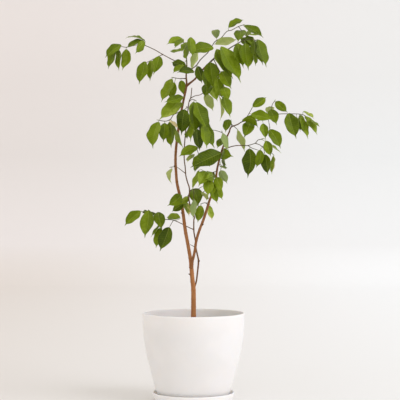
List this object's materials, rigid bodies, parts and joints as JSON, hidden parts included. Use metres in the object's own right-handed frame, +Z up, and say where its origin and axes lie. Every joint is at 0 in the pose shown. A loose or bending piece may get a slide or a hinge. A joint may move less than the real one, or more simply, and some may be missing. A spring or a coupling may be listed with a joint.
{
  "type": "potted ficus",
  "caption": "Slender weeping fig with a low-forked bare trunk and loose leafy sprays, in a plain round white pot on its saucer.",
  "frame": {"origin": "centre of the saucer's flat underside, on the pot's axis", "axes": "+Z up along the trunk, +X towards the viewer's right in the picture, +Y away from the viewer"},
  "size_m": [0.6537, 0.319, 1.1605],
  "materials": {
    "saucer": "satin",
    "pot": "satin",
    "soil": "matte",
    "bark": "matte",
    "leaf": "satin"
  },
  "bodies": {
    "root": {"saucer": "saucer", "pot": "pot", "soil": "soil", "wood": "bark", "spray_far_left": "leaf", "spray_left_upper": "leaf", "spray_top": "leaf", "spray_top_back": "leaf", "spray_top_right": "leaf", "spray_left_middle": "leaf", "spray_left_inner": "leaf", "spray_left_lower": "leaf", "spray_centre_top": "leaf", "spray_centre_upper": "leaf", "spray_centre_front": "leaf", "spray_centre": "leaf", "spray_centre_low": "leaf", "spray_right_middle": "leaf", "spray_right_inner": "leaf", "spray_right_upper": "leaf", "spray_right_fork": "leaf", "spray_right_end": "leaf", "spray_right_tip": "leaf", "spray_right_lower": "leaf", "spray_inner_left": "leaf", "spray_inner_right": "leaf", "spray_inner_low_right": "leaf", "spray_inner_centre": "leaf", "spray_inner_back": "leaf", "spray_stem_left": "leaf", "spray_stem_right": "leaf", "spray_left_bottom": "leaf"}
  },
  "joints": []
}
